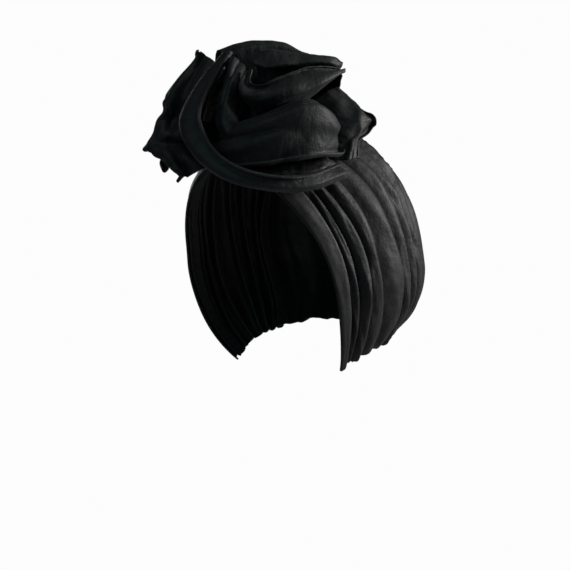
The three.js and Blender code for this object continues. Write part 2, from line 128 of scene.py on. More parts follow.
def cloth_piece(name, node, columns, rows, place, material):
    """A sheet of cloth from a grid: place(column, row) gives each point, and the cut size is measured."""
    bm = bmesh.new()
    bmesh.ops.create_grid(bm, x_segments=columns, y_segments=rows, size=0.5)
    spots = {}
    for vert in bm.verts:
        column = round((vert.co.x + 0.5) * columns)
        row = round((vert.co.y + 0.5) * rows)
        spots[(column, row)] = vert
    for (column, row), vert in spots.items():
        vert.co = place(column, row)

    def run(line):
        total, marks = 0.0, [0.0]
        for a, b in zip(line, line[1:]):
            total += (b.co - a.co).length
            marks.append(total)
        return total, marks

    across_runs = [run([spots[(c, r)] for c in range(columns + 1)]) for r in range(rows + 1)]
    along_runs = [run([spots[(c, r)] for r in range(rows + 1)]) for c in range(columns + 1)]
    across_mean = [sum(m[1][c] for m in across_runs) / len(across_runs) for c in range(columns + 1)]
    along_mean = [sum(m[1][r] for m in along_runs) / len(along_runs) for r in range(rows + 1)]
    uv = bm.loops.layers.uv.new("cloth")
    for (column, row), vert in spots.items():
        for loop in vert.link_loops:
            loop[uv].uv = (across_mean[column], along_mean[row])
    for face in bm.faces:
        face.smooth = True
    mesh = bpy.data.meshes.new(name)
    bm.to_mesh(mesh)
    bm.free()
    piece = bpy.data.objects.new(name, mesh)
    bpy.context.scene.collection.objects.link(piece)
    wall = piece.modifiers.new("cloth thickness", "SOLIDIFY")
    wall.thickness = CLOTH_THICK
    wall.offset = 0.0
    wall.use_even_offset = False
    mesh.materials.append(material)
    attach(piece, "root")
    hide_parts(node)


def socket(group, name, kind, way, value=None):
    """A named input or output of a node group, with its value where it has one."""
    made = group.interface.new_socket(name=name, in_out=way, socket_type=kind)
    if value is not None:
        made.default_value = value


# noise cells for each metre of cloth, across and along it
WARP_CELLS, WEFT_CELLS = (1500, 220, 1), (220, 1500, 1)
CREASE_CELLS = (120, 84, 1)
CRUSH_CELLS = (46, 34, 1)
DYE_CELLS = (30, 22, 1)
THREAD_RELIEF, CRUSH_RELIEF = 0.10, 1.6
DYE_SHADE, THREAD_SHADE = 0.7, 0.15
CRUSH_MATT = 0.30


def crinkled_cloth_group():
    """Woven cloth with a crushed finish: threads, small creases along the cloth and uneven dye."""
    group = bpy.data.node_groups.new("crinkled cloth", "ShaderNodeTree")
    socket(group, "Place", "NodeSocketVector", "INPUT")
    socket(group, "Dark", "NodeSocketColor", "INPUT", (0.006, 0.007, 0.008, 1))
    socket(group, "Pale", "NodeSocketColor", "INPUT", (0.02, 0.021, 0.024, 1))
    socket(group, "Crease", "NodeSocketFloat", "INPUT", 1.0)
    socket(group, "Matt", "NodeSocketFloat", "INPUT", 0.5)
    socket(group, "Color", "NodeSocketColor", "OUTPUT")
    socket(group, "Roughness", "NodeSocketFloat", "OUTPUT")
    socket(group, "Height", "NodeSocketFloat", "OUTPUT")
    nodes, links = group.nodes, group.links
    given = nodes.new("NodeGroupInput")
    result = nodes.new("NodeGroupOutput")

    def noise_at(scale, detail, rough):
        mapping = nodes.new("ShaderNodeMapping")
        mapping.inputs["Scale"].default_value = scale
        links.new(given.outputs["Place"], mapping.inputs["Vector"])
        texture = nodes.new("ShaderNodeTexNoise")
        texture.inputs["Scale"].default_value = 1.0
        texture.inputs["Detail"].default_value = detail
        texture.inputs["Roughness"].default_value = rough
        links.new(mapping.outputs["Vector"], texture.inputs["Vector"])
        return texture.outputs["Fac"]

    def math_node(kind, a, b):
        node = nodes.new("ShaderNodeMath")
        node.operation = kind
        for k, value in enumerate((a, b)):
            if isinstance(value, (int, float)):
                node.inputs[k].default_value = value
            else:
                links.new(value, node.inputs[k])
        return node.outputs[0]

    warp = noise_at(WARP_CELLS, 1, 0.5)
    weft = noise_at(WEFT_CELLS, 1, 0.5)
    crease = noise_at(CREASE_CELLS, 4, 0.6)
    crush = noise_at(CRUSH_CELLS, 3, 0.55)
    dye = noise_at(DYE_CELLS, 3, 0.6)
    threads = math_node("ADD", warp, weft)
    small = math_node("MULTIPLY", crease, given.outputs["Crease"])
    broad = math_node("MULTIPLY", crush, CRUSH_RELIEF)
    weave = math_node("MULTIPLY", threads, THREAD_RELIEF)
    height = math_node("ADD", weave, math_node("ADD", small, broad))
    links.new(height, result.inputs["Height"])
    mix = nodes.new("ShaderNodeMix")
    mix.data_type = "RGBA"
    dyed = math_node("MULTIPLY", dye, DYE_SHADE)
    shade = math_node("ADD", dyed, math_node("MULTIPLY", threads, THREAD_SHADE))
    links.new(shade, mix.inputs["Factor"])
    links.new(given.outputs["Dark"], mix.inputs["A"])
    links.new(given.outputs["Pale"], mix.inputs["B"])
    links.new(mix.outputs["Result"], result.inputs["Color"])
    uneven = math_node("MULTIPLY", math_node("SUBTRACT", crush, 0.5), CRUSH_MATT)
    links.new(math_node("ADD", given.outputs["Matt"], uneven), result.inputs["Roughness"])
    return group


CRINKLED = crinkled_cloth_group()
SHEEN, SHEEN_ROUGHNESS = 0.04, 0.4
CLOTH_GLOSS = 0.46


def cloth_material(name, dark, pale, crease, matt, depth):
    """Black cloth with a soft sheen. depth is how deep the creases lie, in millimetres."""
    material = bpy.data.materials.new(name)
    material.use_nodes = True
    nodes, links = material.node_tree.nodes, material.node_tree.links
    shader = nodes["Principled BSDF"]
    shader.inputs["Sheen Weight"].default_value = SHEEN
    shader.inputs["Sheen Roughness"].default_value = SHEEN_ROUGHNESS
    shader.inputs["Specular IOR Level"].default_value = CLOTH_GLOSS
    place = nodes.new("ShaderNodeUVMap")
    place.uv_map = "cloth"
    surface = nodes.new("ShaderNodeGroup")
    surface.node_tree = CRINKLED
    surface.inputs["Dark"].default_value = (*dark, 1)
    surface.inputs["Pale"].default_value = (*pale, 1)
    surface.inputs["Crease"].default_value = crease
    surface.inputs["Matt"].default_value = matt
    links.new(place.outputs["UV"], surface.inputs["Place"])
    links.new(surface.outputs["Color"], shader.inputs["Base Color"])
    links.new(surface.outputs["Roughness"], shader.inputs["Roughness"])
    bump = nodes.new("ShaderNodeBump")
    bump.inputs["Strength"].default_value = 1.0
    bump.inputs["Distance"].default_value = depth * MM
    links.new(surface.outputs["Height"], bump.inputs["Height"])
    links.new(bump.outputs["Normal"], shader.inputs["Normal"])
    return material


# along, edge polar, edge turn, rear polar, rear turn, from the middle of the brow to the low tip
BAND_SECTIONS = [
    (0.00, 24, 0, 11, 0),
    (0.14, 26.5, 19, 17, 34),
    (0.28, 33, 36, 28, 50),
    (0.40, 44, 47, 42, 60),
    (0.55, 62, 55, 61, 64.5),
    (0.72, 87, 58, 87, 65),
    (0.87, 110, 56.5, 110, 61.5),
    (1.00, 132, 54.5, 131, 58),
]
BAND_COLUMNS, BAND_ROWS = 200, 20
BAND_LIFT = -0.9
BAND_SWELL = 0.5
BAND_WAVE = 0.5
WAVES_ALONG, WAVES_ACROSS, BAND_SEED = 9, 2.5, 3.1
EDGE_DROP = 0.9
EDGE_START = 0.86


def band_place(column, row):
    """Place of a grid point of the band, from one low tip over the brow to the other."""
    station = column / BAND_COLUMNS * 2 - 1
    along, hand = abs(station), -1 if station < 0 else 1
    edge_polar, edge_turn, rear_polar, rear_turn = (between(BAND_SECTIONS, along, k) for k in (1, 2, 3, 4))
    share = row / BAND_ROWS
    edge_turn, rear_turn = math.radians(edge_turn), math.radians(rear_turn)
    across = edge_polar * math.sin(edge_turn) * (1 - share) + rear_polar * math.sin(rear_turn) * share
    ahead = edge_polar * math.cos(edge_turn) * (1 - share) + rear_polar * math.cos(rear_turn) * share
    turn = math.degrees(math.atan2(across, ahead))
    rolled = max(0.0, abs(share - 0.5) * 2 - EDGE_START) / (1 - EDGE_START)
    wave = drift(station * WAVES_ALONG, share * WAVES_ACROSS, BAND_SEED) * BAND_WAVE
    level = BAND_LIFT + BAND_SWELL * math.sin(math.pi * share) - EDGE_DROP * rolled**2 + wave
    return lifted_point(math.hypot(across, ahead), hand * turn, level)


band_cloth = cloth_material(
    "smooth band cloth", dark=(0.003, 0.0034, 0.004), pale=(0.011, 0.012, 0.013),
    crease=0.7, matt=0.62, depth=0.8,
)
cloth_piece(
    "face_band", "front_band", BAND_COLUMNS, BAND_ROWS, band_place,
    band_cloth,
)


# Pleated sides. Each is one length of black cloth laid in deep folds that run from under the rosette
# to the hem at the nape. Each fold ends in a soft lip that lies over the groove behind it.

GATHER_RING = 8
FOLD_DEPTH = 9.4
GROOVE_LIFT = -7.4
MARGIN_LIFT = -3.05

# turn about the gather at each of LINE_STATIONS, then the fold's depth as a share
FOLD_LINES = [
    (3, 30, 52, 60, 56.5, 0),
    (18, 48, 62, 65, 59, 0.62),
    (32, 57, 68, 69.5, 62, 0.9),
    (48, 66, 74.5, 76, 68, 0.9),
    (66, 79, 85, 83, 79, 1),
    (84, 95, 98, 96.5, 89, 0.95),
    (104, 109, 109, 104, 95, 0.95),
    (128, 128, 122, 110, 101, 0.95),
    (156, 150, 138, 117, 108, 0),
]
LINE_STATIONS = (GATHER_RING, 28, 50, 90, 132)
HEM_TURN, DEPTH_SHARE = 4, 5

# turn about the gather, then the hem's angle from the gather there
HEM_SECTIONS = [(54, 132), (80, 133), (108, 137), (140, 143), (180, 147)]

# across the fold and its height, from the groove at its front over the lip at its rear
FOLD_PROFILE = [
    (0.00, 0.00), (0.06, 0.07), (0.14, 0.20), (0.24, 0.38), (0.35, 0.57), (0.47, 0.75), (0.59, 0.89),
    (0.71, 0.97), (0.82, 1.00), (0.92, 0.95), (1.00, 0.83), (1.035, 0.66), (1.035, 0.45), (1.00, 0.18),
]
MARGIN_STATIONS = (0.0, 0.35, 0.7, 0.95)
LAST_LIP_STATIONS = ((0.99, 0.30), (0.93, 0.30))
PLEAT_ROWS = 120
FOLD_SWAY, SWAY_STEP, SWAY_RATE = 0.8, 3.7, 0.030
FOLD_UNEVEN, UNEVEN_STEP, UNEVEN_RATE = 0.22, 5.1, 0.045

# depth in millimetres, then waves for each degree of turn and for each degree from the gather
RIPPLE_DEPTH, RIPPLE_RATE = 1.6, (0.42, 0.035)
CREASE_DEPTH, CREASE_RATE = 2.0, (0.27, 0.020)
CRINKLE_DEPTH, CRINKLE_RATE = 0.45, (1.1, 0.09)

# a fold's depth at its end as a share, and how fast it deepens from there
GATHER_FADE = (0.35, 3)
HEM_FADE = (0.6, 2.4)
HEM_START = 0.985
HEM_DROP = 1.2
RIDGE_STEEPNESS = 2.4
RIDGE_MEAN = 0.4


def soft_ridge(*place):
    """Height of a soft fold of slack cloth at a place, highest along its crest."""
    height = 1 - RIDGE_STEEPNESS * abs(drift(*place))
    return height * abs(height) - RIDGE_MEAN


def hem_fall(share):
    """How far the cloth turns in at the hem, as a share of the hem's drop."""
    return (max(0.0, share - HEM_START) / (1 - HEM_START)) ** 2


def fold_fade(share):
    """How deep the folds are at a share of the way from the gather to the hem."""
    gathered, opening = GATHER_FADE
    hemmed, closing = HEM_FADE
    return min(1, gathered + share * opening) * min(1, hemmed + (1 - share) * closing)


def line_turn(line, polar):
    """Turn of one line of the folds at an angle from the gather."""
    return between(list(zip(LINE_STATIONS, line)), polar, 1)


def pleat_columns():
    """Fold, place across it and height as a share, for each column of a pleated side."""
    stations = [(0, share, 0.0) for share in MARGIN_STATIONS]
    for fold in range(1, len(FOLD_LINES) - 1):
        stations += [(fold, across, height) for across, height in FOLD_PROFILE]
    last = len(FOLD_LINES) - 2
    stations += [(last, across, height) for across, height in LAST_LIP_STATIONS]
    return stations


def pleated_side(name, node, hand, seed):
    """One side of folds. hand is 1 on the wearer's left and -1 on the right."""
    stations = pleat_columns()
    turns = {}

    def turn_of(fold, row, polar):
        if (fold, row) not in turns:
            sway = FOLD_SWAY * drift(fold * SWAY_STEP, polar * SWAY_RATE, seed)
            turns[(fold, row)] = line_turn(FOLD_LINES[fold], polar) + sway
        return turns[(fold, row)]

    def ripple_at(turn, polar):
        ripple = drift(turn * RIPPLE_RATE[0], polar * RIPPLE_RATE[1], seed + 11) * RIPPLE_DEPTH
        ripple += soft_ridge(turn * CREASE_RATE[0], polar * CREASE_RATE[1], seed + 17) * CREASE_DEPTH
        ripple += drift(turn * CRINKLE_RATE[0], polar * CRINKLE_RATE[1], seed + 13) * CRINKLE_DEPTH
        return ripple

    def place(column, row):
        fold, across, height = stations[column]
        start, end = FOLD_LINES[fold], FOLD_LINES[fold + 1]
        share = row / PLEAT_ROWS
        hem_turn = start[HEM_TURN] + (end[HEM_TURN] - start[HEM_TURN]) * across
        hem = between(HEM_SECTIONS, hem_turn, 1)
        polar = GATHER_RING + (hem - GATHER_RING) * share
        a, b = turn_of(fold, row, polar), turn_of(fold + 1, row, polar)
        turn = a + (b - a) * across
        fade = fold_fade(share)
        uneven = 1 + FOLD_UNEVEN * drift(fold * UNEVEN_STEP, polar * UNEVEN_RATE, seed + 7)
        body = math.sin(math.pi * min(1.0, max(0.0, across)))
        if fold == 0:
            level = MARGIN_LIFT
        else:
            level = GROOVE_LIFT + start[DEPTH_SHARE] * FOLD_DEPTH * fade * height * uneven
            level += ripple_at(turn, polar) * body * fade
        return lifted_point(polar, hand * turn, level - HEM_DROP * hem_fall(share))

    cloth_piece(
        name, node, len(stations) - 1, PLEAT_ROWS, place,
        pleated_cloth,
    )


pleated_cloth = cloth_material(
    "crushed pleat cloth", dark=(0.003, 0.0034, 0.004), pale=(0.012, 0.013, 0.014),
    crease=0.8, matt=0.61, depth=1.2,
)
pleated_side("left_folds", "left_pleats", 1, 1.7)
pleated_side("right_folds", "right_pleats", -1, 23.4)


# Back pouch. A loose panel of the same cloth over the crown and down the back, gathered at both ends
# and puffed between them. Its sides run under the lips of the last folds.

POUCH_COLUMNS, POUCH_ROWS = 132, 96
POUCH_TUCK = 4
POUCH_LIFT = -6.2
POUCH_PUFF = 6.4
POUCH_PUFFED_SHARE = 0.93
SIDE_RISE = 5
WIDE_GATHERS, WIDE_DEPTH, WIDE_SWAY = 5, 1.7, 0.05
FINE_GATHERS, FINE_DEPTH = 11.5, 1.5
FINE_FADE = 0.62

# size, then waves across half the pouch and from the gather to the hem
GATHER_SWAY, GATHER_SWAY_RATE = 0.9, (2.2, 2.4)
SLACK_DEPTH, SLACK_RATE = 2.0, (9, 3.2)
POUCH_CRINKLE, POUCH_CRINKLE_RATE = 0.6, (26, 8)


def pouch_place(column, row):
    """Place of a grid point of the pouch, from the gather to the hem."""
    seam = FOLD_LINES[-1]
    share = row / POUCH_ROWS
    across = column / POUCH_COLUMNS * 2 - 1
    hem_turn = 180 - (180 - seam[HEM_TURN] + POUCH_TUCK) * abs(across)
    hem = between(HEM_SECTIONS, hem_turn, 1)
    polar = GATHER_RING + (hem - GATHER_RING) * share
    turn = 180 + (180 - line_turn(seam, polar) + POUCH_TUCK) * across
    inner = min(1.0, (1 - abs(across)) * SIDE_RISE)
    puff = POUCH_PUFF * math.sin(math.pi * min(1.0, share * POUCH_PUFFED_SHARE)) ** 2 * inner
    ends = 1 - math.sin(math.pi * share) * FINE_FADE
    sway = GATHER_SWAY * drift(across * GATHER_SWAY_RATE[0], share * GATHER_SWAY_RATE[1], 5.0)
    wide = math.cos((across + WIDE_SWAY * sway) * math.pi * WIDE_GATHERS) * WIDE_DEPTH
    fine = math.cos((across * FINE_GATHERS + sway) * math.pi) * FINE_DEPTH * ends
    slack = drift(across * SLACK_RATE[0], share * SLACK_RATE[1], 8.0) * SLACK_DEPTH
    slack += drift(across * POUCH_CRINKLE_RATE[0], share * POUCH_CRINKLE_RATE[1], 9.0) * POUCH_CRINKLE
    level = POUCH_LIFT + puff + (wide + fine + slack) * inner - HEM_DROP * hem_fall(share)
    return lifted_point(polar, turn, level)


pouch_cloth = cloth_material(
    "gathered pouch cloth", dark=(0.003, 0.0034, 0.004), pale=(0.012, 0.013, 0.014),
    crease=0.8, matt=0.60, depth=1.2,
)
cloth_piece(
    "pouch", "back_pouch", POUCH_COLUMNS, POUCH_ROWS, pouch_place,
    pouch_cloth,
)


# Rosette base. A pad of black cloth gathered into a knot, sewn to the cap. Every petal is stitched
# to it, and it shows only in the dark hollows between them.

ROSETTE_SIZE = 74 * MM
ROSETTE_SEAT = Vector((0, -49 * MM, 70 * MM))
ROSETTE_TURN = math.radians(38)
ROSETTE_TILT = math.radians(6)
ROOT_REACH = 0.3
PAD_MIDDLE = (4, 0, -2)
PAD_REACH = (46, 42, 46)
ACROSS = Vector((math.cos(ROSETTE_TURN), math.sin(ROSETTE_TURN), 0))
OUT = Vector((
    math.sin(ROSETTE_TURN) * math.cos(ROSETTE_TILT),
    -math.cos(ROSETTE_TURN) * math.cos(ROSETTE_TILT),
    math.sin(ROSETTE_TILT),
))
RISE = OUT.cross(ACROSS)


def rosette_point(a, r, o):
    """A place in the rosette, in hundredths of its size across, up and out."""
    return ROSETTE_SEAT + (ACROSS * a + RISE * r + OUT * o) * (ROSETTE_SIZE / 100)


rosette_cloth = cloth_material(
    "crushed rosette cloth", dark=(0.0025, 0.0032, 0.0036), pale=(0.011, 0.013, 0.014),
    crease=0.8, matt=0.61, depth=1.6,
)
pad_cloth = cloth_material(
    "gathered knot cloth", dark=(0.004, 0.0045, 0.005), pale=(0.009, 0.010, 0.011),
    crease=1.2, matt=0.60, depth=0.6,
)
KNOT_SEGMENTS, KNOT_RINGS = 96, 48
KNOT_GATHERS, KNOT_GATHER_DEPTH, KNOT_TWIST = 17, 0.03, 2
KNOT_UNEVEN, KNOT_LUMPS = 0.05, 3
KNOT_SHARE = 0.97
KNOT_SEAT_LENGTH = 125 * MM
KNOT_LEAST_SHELL = 0.3
KNOT_ROUND, KNOT_TALL = 0.2, 0.1


def knot_spot(x, y, z):
    """Place on the knot of a point of the unit ball, laid on the cap where it would sink in."""
    gather = KNOT_GATHER_DEPTH * math.sin(math.atan2(y, x) * KNOT_GATHERS + KNOT_TWIST * z)
    lump = KNOT_UNEVEN * drift(x * KNOT_LUMPS, y * KNOT_LUMPS, z * KNOT_LUMPS)
    size = (1 + gather + lump) * KNOT_SHARE
    spot = rosette_point(*(m + v * reach * size for m, v, reach in zip(PAD_MIDDLE, (x, y, z), PAD_REACH)))
    off = spot - FORM_CENTRE
    shell = Vector((off.x / (CAP_WIDTH / 2), off.y / KNOT_SEAT_LENGTH, off.z / CROWN_RISE)).length
    return FORM_CENTRE + off / max(shell, KNOT_LEAST_SHELL) if shell < 1 else spot


bm = bmesh.new()
uv = bm.loops.layers.uv.new("cloth")
bmesh.ops.create_uvsphere(
    bm, u_segments=KNOT_SEGMENTS, v_segments=KNOT_RINGS, radius=1.0, calc_uvs=True,
)
for vert in bm.verts:
    vert.co = knot_spot(*vert.co)
for face in bm.faces:
    face.smooth = True
    for loop in face.loops:
        loop[uv].uv = (loop[uv].uv[0] * KNOT_ROUND, loop[uv].uv[1] * KNOT_TALL)
bmesh.ops.recalc_face_normals(bm, faces=bm.faces)
mesh = bpy.data.meshes.new("rosette_knot")
bm.to_mesh(mesh)
bm.free()
knot = bpy.data.objects.new("rosette_knot", mesh)
bpy.context.scene.collection.objects.link(knot)
mesh.materials.append(pad_cloth)
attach(knot, "root")
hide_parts("rosette_base")


# Heart of the rosette. Two turns of the same black cloth wound into an open swirl, whose lip runs
# out to a point at the right. Its raw edge is rolled under and its root is sewn into the knot.

PETAL_COLUMNS, PETAL_ROWS, ROLL_ROWS = 76, 40, 10
ROLL_UNEVEN, ROLL_WAVE_COLUMNS = 0.3, 9

# waves of slack along a petal and out from its root, and how much they lean and fan out
FOLDS_ALONG, FOLDS_OUT, FOLD_LEAN, FOLD_FAN = 1.3, 0.9, 0.7, 1.2
SLACK_SHARE, SLACK_ALONG, SLACK_OUT, SLACK_FAN = 0.9, 3.1, 1.9, 1.3
PLEAT_SWAY, PLEAT_SWAY_ALONG, PLEAT_SWAY_OUT, PLEAT_END = 0.10, 2.3, 1.5, 1.05
PETAL_CRINKLE, CRINKLES_ALONG, CRINKLES_OUT = 0.35, 16, 9
RUFFLE_SWAY, RUFFLE_SWAYS = 0.05, 9
ROOT_FADE, ROOT_RISE = 0.3, 1.5


def petal_surface(table):
    """Points of a petal before it is creased, from a table of its root, belly and rim at each section."""
    last = len(table) - 1
    sections = []
    for i, (root, belly, rim) in enumerate(table):
        drawn = [v + (middle - v) * ROOT_REACH for v, middle in zip(root, PAD_MIDDLE)]
        sections.append((i / last, *drawn, *belly, *rim))

    def point(column, row):
        root, belly, rim = (
            [between(sections, column / PETAL_COLUMNS, first + k) for k in range(3)] for first in (1, 4, 7)
        )
        out = row / PETAL_ROWS
        near, middle, far = (1 - out) * (1 - 2 * out), 4 * out * (1 - out), out * (2 * out - 1)
        return rosette_point(*(a * near + b * middle + c * far for a, b, c in zip(root, belly, rim)))

    return [[point(column, row) for row in range(PETAL_ROWS + 1)] for column in range(PETAL_COLUMNS + 1)]


def petal_relief(along, out, creases, pleats, ruffle, seed):
    """How far the cloth stands off the plain petal, in millimetres."""
    count, depth = creases
    lean, fan = along * FOLDS_ALONG + out * FOLD_LEAN, out * count * FOLDS_OUT - along * FOLD_FAN
    deep = soft_ridge(lean, fan, seed) * depth
    fan = out * count * SLACK_OUT + along * SLACK_FAN
    deep += drift(along * SLACK_ALONG, fan, seed + 3) * depth * SLACK_SHARE
    count, depth = pleats
    bend = out + PLEAT_SWAY * drift(along * PLEAT_SWAY_ALONG, out * PLEAT_SWAY_OUT, seed + 8)
    deep += math.sin(bend * count * math.tau) * depth * math.sin(math.pi * min(1, out * PLEAT_END))
    fine = drift(along * CRINKLES_ALONG, out * CRINKLES_OUT, seed + 5) * PETAL_CRINKLE
    count, depth = ruffle
    shifted = along + RUFFLE_SWAY * math.sin(along * RUFFLE_SWAYS + seed)
    wave = math.sin(shifted * count * math.tau + seed) * depth * out**2
    fade = min(1.0, ROOT_FADE + out * ROOT_RISE)
    return deep * fade + fine + wave


def petal_cloth(name, node, table, creases, pleats=(0, 0), ruffle=(0, 0), roll=(1.6, 200), seed=0.0):
    """A petal from a table of sections, each with its root, belly and rim.

    creases and pleats run along the petal: how many from root to rim and how deep in millimetres.
    ruffle is how many waves the rim has and how deep they are. roll is the radius of the rolled rim in
    millimetres, less than nothing where it rolls the other way, and how far round it goes in degrees."""
    points = petal_surface(table)
    radius, reach = roll

    def place(column, row):
        flat_row = min(row, PETAL_ROWS)
        before, after = points[max(0, column - 1)][flat_row], points[min(PETAL_COLUMNS, column + 1)][flat_row]
        lower, upper = points[column][max(0, flat_row - 1)], points[column][min(PETAL_ROWS, flat_row + 1)]
        normal = (after - before).cross(upper - lower).normalized()
        relief = petal_relief(column / PETAL_COLUMNS, flat_row / PETAL_ROWS, creases, pleats, ruffle, seed)
        spot = points[column][flat_row] + normal * (relief * MM)
        if row <= PETAL_ROWS:
            return spot
        rise = (upper - lower).normalized()
        swell = abs(radius) * (1 + ROLL_UNEVEN * drift(column / ROLL_WAVE_COLUMNS, seed, 2.0)) * MM
        bent = math.radians(reach) * (row - PETAL_ROWS) / ROLL_ROWS
        side = 1 if radius > 0 else -1
        return spot + rise * (swell * math.sin(bent)) + normal * (side * swell * (1 - math.cos(bent)))

    cloth_piece(
        name, node, PETAL_COLUMNS, PETAL_ROWS + ROLL_ROWS, place,
        rosette_cloth,
    )


petal_cloth("heart_swirl_front", "rosette_heart", [
    ((-2, 42, 30), (-13, 52, 50), (-8, 60, 50)),
    ((0, 30, 36), (-16, 38, 60), (-10, 46, 58)),
    ((6, 22, 40), (-6, 28, 67), (-2, 41, 62)),
    ((14, 17, 41), (10, 26, 71), (12, 43, 64)),
    ((28, 20, 38), (33, 32, 70), (32, 53, 60)),
    ((42, 28, 30), (61, 43, 60), (58, 60, 50)),
    ((50, 34, 20), (82, 56, 42), (84, 61, 37)),
], creases=(2, 1.4), roll=(1.5, 190), seed=2.1)
petal_cloth("heart_swirl_back", "rosette_swirl", [
    ((2, 52, 20), (-2, 76, 24), (-3, 68, 38)),
    ((12, 50, 20), (14, 80, 26), (14, 65, 45)),
    ((32, 48, 20), (40, 78, 27), (42, 69, 46)),
    ((48, 46, 16), (66, 72, 26), (71, 69, 39)),
    ((54, 42, 12), (79, 66, 26), (84, 66, 30)),
], creases=(2, 2.0), roll=(1.4, 190), seed=4.6)


# Upper and left petals. Broad loops of black cloth, folded over behind the heart and down its left
# side. Each is gathered at its root and stitched to the knot.

petal_cloth("top_loop", "petal_top", [
    ((-20, 44, 10), (-39, 84, 8), (-42, 46, -22)),
    ((-4, 42, 12), (-8, 91, 6), (-8, 42, -36)),
    ((20, 40, 12), (25, 92, 4), (26, 40, -42)),
    ((38, 38, 12), (47, 81, 4), (48, 36, -38)),
    ((50, 34, 10), (73, 69, 8), (68, 32, -24)),
    ((52, 30, 6), (82, 60, 10), (76, 30, -10)),
], creases=(4, 2.4), seed=6.2)
petal_cloth("upper_left_fold", "petal_upper_left", [
    ((-14, 66, 20), (-20, 70, 24), (-23, 74, 27)),
    ((-22, 52, 18), (-31, 52, 27), (-36, 54, 33)),
    ((-30, 30, 20), (-40, 30, 33), (-46, 31, 42)),
    ((-34, 12, 26), (-44, 8, 38), (-50, 8, 49)),
], creases=(2, 1.8), roll=(1.6, 190), seed=8.3)
petal_cloth("inner_left_fold", "petal_inner_left", [
    ((-8, 66, 34), (-17, 70, 41), (-26, 71, 35)),
    ((-12, 50, 42), (-22, 52, 54), (-32, 51, 43)),
    ((-13, 32, 46), (-26, 31, 61), (-38, 30, 49)),
    ((-12, 16, 48), (-27, 12, 65), (-41, 9, 55)),
    ((-10, 4, 52), (-24, -3, 69), (-37, -9, 61)),
], creases=(2.5, 3.2), roll=(1.6, 190), seed=9.9)


# Front petals. The large puffed billow of black cloth that faces forwards, and the pocket folded
# under it. Both are gathered at the root and stitched to the knot.

petal_cloth("front_billow", "petal_front_billow", [
    ((-26, 2, 26), (-44, -8, 36), (-46, -26, 40)),
    ((-18, 4, 40), (-30, -3, 64), (-36, -31, 66)),
    ((-4, 8, 46), (-6, 6, 82), (-8, -32, 80)),
    ((20, 12, 46), (27, 17, 93), (22, -29, 90)),
    ((42, 20, 40), (54, 24, 88), (54, -22, 86)),
    ((50, 20, 28), (74, 13, 66), (76, -18, 62)),
    ((46, 14, 14), (72, 14, 34), (72, -13, 36)),
], creases=(4, 3.2), roll=(-3.0, 190), seed=12.4)
petal_cloth("lower_pocket", "petal_lower_pocket", [
    ((-24, -18, 40), (-28, -34, 60), (-20, -41, 68)),
    ((0, -20, 48), (2, -40, 70), (6, -46, 76)),
    ((28, -18, 52), (32, -39, 74), (34, -48, 80)),
    ((50, -14, 44), (64, -31, 68), (54, -48, 74)),
    ((54, -12, 32), (74, -29, 48), (72, -43, 54)),
], creases=(2, 2.0), roll=(1.5, 190), seed=14.8)


# Outer roll. One long petal of black cloth round the left and the bottom of the rosette. Its rim is
# rolled under, and its root is stitched along the knot.

petal_cloth("outer_roll", "petal_outer_roll", [
    ((-24, 64, 6), (-35, 72, 20), (-25, 77, 34)),
    ((-38, 46, 8), (-53, 52, 25), (-39, 56, 43)),
    ((-46, 24, 14), (-67, 28, 34), (-51, 33, 56)),
    ((-48, 2, 22), (-73, 6, 46), (-57, 12, 68)),
    ((-44, -18, 32), (-67, -18, 58), (-50, -9, 78)),
    ((-30, -34, 40), (-49, -40, 68), (-36, -28, 86)),
    ((-8, -42, 48), (-21, -54, 78), (-12, -43, 93)),
    ((20, -44, 50), (18, -60, 80), (20, -49, 97)),
    ((48, -40, 44), (54, -58, 72), (51, -48, 89)),
    ((62, -30, 26), (86, -45, 50), (82, -36, 62)),
], creases=(2.5, 3.0), roll=(1.6, 190), seed=17.5)


# Ruffles and tail. The crumpled ends of the same cloth that stand out at the left, and the pointed
# end at the right. They are caught into the knot under the other petals.

petal_cloth("left_ruffles", "petal_left_ruffles", [
    ((-34, 58, -8), (-46, 74, 0), (-59, 84, 4)),
    ((-38, 46, -6), (-58, 58, 8), (-71, 67, 0)),
    ((-44, 30, -2), (-72, 36, 12), (-92, 40, 6)),
    ((-48, 14, 4), (-78, 16, 4), (-94, 22, 14)),
    ((-50, 0, 10), (-84, 0, 22), (-106, 4, 12)),
    ((-50, -12, 16), (-86, -12, 18), (-113, -15, 22)),
    ((-48, -24, 22), (-76, -26, 36), (-93, -22, 26)),
    ((-44, -36, 28), (-64, -42, 36), (-76, -47, 42)),
], creases=(3, 3.4), pleats=(2, 2.6), ruffle=(2, 2.5), seed=19.2)
petal_cloth("far_fold", "petal_far_side", [
    ((-42, -18, 12), (-70, -8, 10), (-88, 4, -4)),
    ((-42, 0, -4), (-66, 20, -8), (-84, 32, -18)),
    ((-36, 12, -16), (-54, 40, -22), (-66, 58, -26)),
    ((-26, 20, -22), (-36, 52, -30), (-42, 70, -34)),
], creases=(2, 2.6), pleats=(1.5, 2.0), seed=21.9)
petal_cloth("tail_end", "tail_loop", [
    ((52, 34, 4), (72, 44, 2), (80, 46, -2)),
    ((58, 22, 8), (84, 31, 8), (100, 26, 0)),
    ((62, 8, 12), (92, 16, 16), (116, 16, 4)),
    ((66, -8, 14), (92, 2, 22), (115, 8, 2)),
    ((68, -20, 16), (90, -10, 26), (100, -6, 14)),
    ((72, -32, 18), (88, -28, 28), (96, -24, 20)),
], creases=(2, 2.4), roll=(1.6, 200), seed=25.3)


# Back petals. Two rings of loose folds of black cloth on the side towards the crown, ruffled at the
# rim and stitched to the back of the knot.

